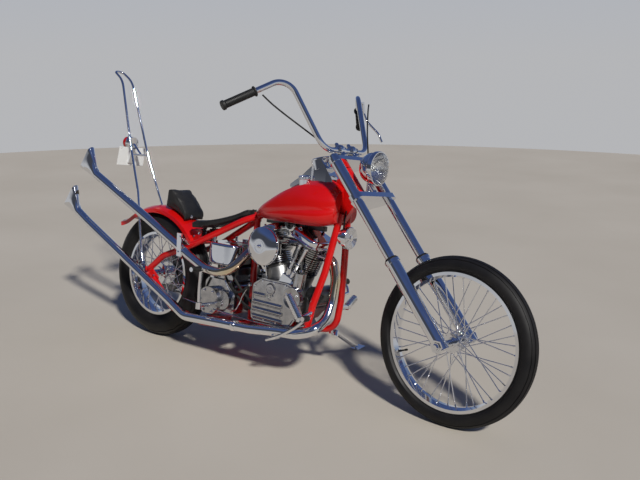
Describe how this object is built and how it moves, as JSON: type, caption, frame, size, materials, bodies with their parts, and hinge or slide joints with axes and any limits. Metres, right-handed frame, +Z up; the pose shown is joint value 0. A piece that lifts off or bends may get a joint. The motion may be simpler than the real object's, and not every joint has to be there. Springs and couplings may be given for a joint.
{
  "type": "chopper motorcycle",
  "caption": "Rigid-frame chopper motorcycle with a V-twin engine, raked long fork, high handlebar, fishtail exhausts and a tall sissy bar, parked on its side stand.",
  "frame": {"origin": "middle of the parked machine's bounding box, on the floor under the tyres", "axes": "+X forward along the wheelbase, +Y to the machine's left, +Z up; the machine leans 9.2 degrees to +Y on its side stand"},
  "size_m": [2.7725, 1.0163, 1.3817],
  "materials": {
    "red_paint": "gloss",
    "chrome": "polished",
    "aluminium": "polished",
    "black_paint": "satin",
    "black_leather": "satin",
    "tyre": "matte",
    "black_rubber": "matte",
    "dark_steel": "satin",
    "clear_glass": "clear",
    "red_glass": "clear",
    "plate": "satin"
  },
  "bodies": {
    "chassis": {"frame_spine": "red_paint", "frame_rails": "red_paint", "frame_stays": "red_paint", "rear_fender": "red_paint", "sissy_bar": "chrome", "plate_bracket": "chrome", "licence_plate": "plate", "tail_lamp_lens": "red_glass", "pillion_pad": "black_leather", "seat": "black_leather", "seat_springs": "dark_steel", "fuel_tank_left": "red_paint", "fuel_tank_right": "red_paint", "dash": "chrome", "filler_caps": "chrome", "oil_tank": "chrome", "crankcase": "aluminium", "gear_cover": "aluminium", "generator": "black_paint", "cylinders": "black_paint", "cylinder_heads": "aluminium", "rocker_covers": "chrome", "pushrod_tubes": "chrome", "carburettor": "aluminium", "air_cleaner": "chrome", "exhaust_front": "chrome", "exhaust_rear": "chrome", "gearbox": "aluminium", "kick_starter": "chrome", "primary_cover": "chrome", "drive_chain": "dark_steel", "rear_axle": "chrome", "foot_controls": "chrome", "horn": "chrome", "horn_lead": "black_rubber", "stand_bracket": "chrome"},
    "steering": {"lower_tree": "chrome", "upper_tree": "chrome", "fork_tubes": "chrome", "fork_sliders": "chrome", "front_axle": "chrome", "handlebar": "chrome", "grips": "black_rubber", "headlamp": "chrome", "headlamp_lens": "clear_glass", "throttle_cable": "black_rubber", "clutch_cable": "black_rubber"},
    "front_wheel": {"front_tyre": "tyre", "front_rim": "chrome"},
    "rear_wheel": {"rear_tyre": "tyre", "rear_rim": "chrome", "rear_sprocket": "dark_steel"},
    "side_stand": {"side_stand": "chrome"}
  },
  "joints": [
    {"name": "steering", "type": "hinge", "parent": "chassis", "child": "steering", "pos_m": [0.47343, -0.04946, 0.90477], "axis": [-0.66, 0.1201, 0.7416], "range_deg": [-30, 30]},
    {"name": "front_wheel_spin", "type": "hinge", "parent": "steering", "child": "front_wheel", "pos_m": [1.039, -0.14027, 0.34406], "axis": [0, 0.9871, -0.1599], "continuous": true},
    {"name": "rear_wheel_spin", "type": "hinge", "parent": "chassis", "child": "rear_wheel", "pos_m": [-0.711, -0.14263, 0.32953], "axis": [0, 0.9871, -0.1599], "continuous": true},
    {"name": "side_stand_fold", "type": "hinge", "parent": "chassis", "child": "side_stand", "pos_m": [0.341, -0.00582, 0.18599], "axis": [-0.2719, 0.6937, 0.6669], "range_deg": [0, 79.9]}
  ]
}
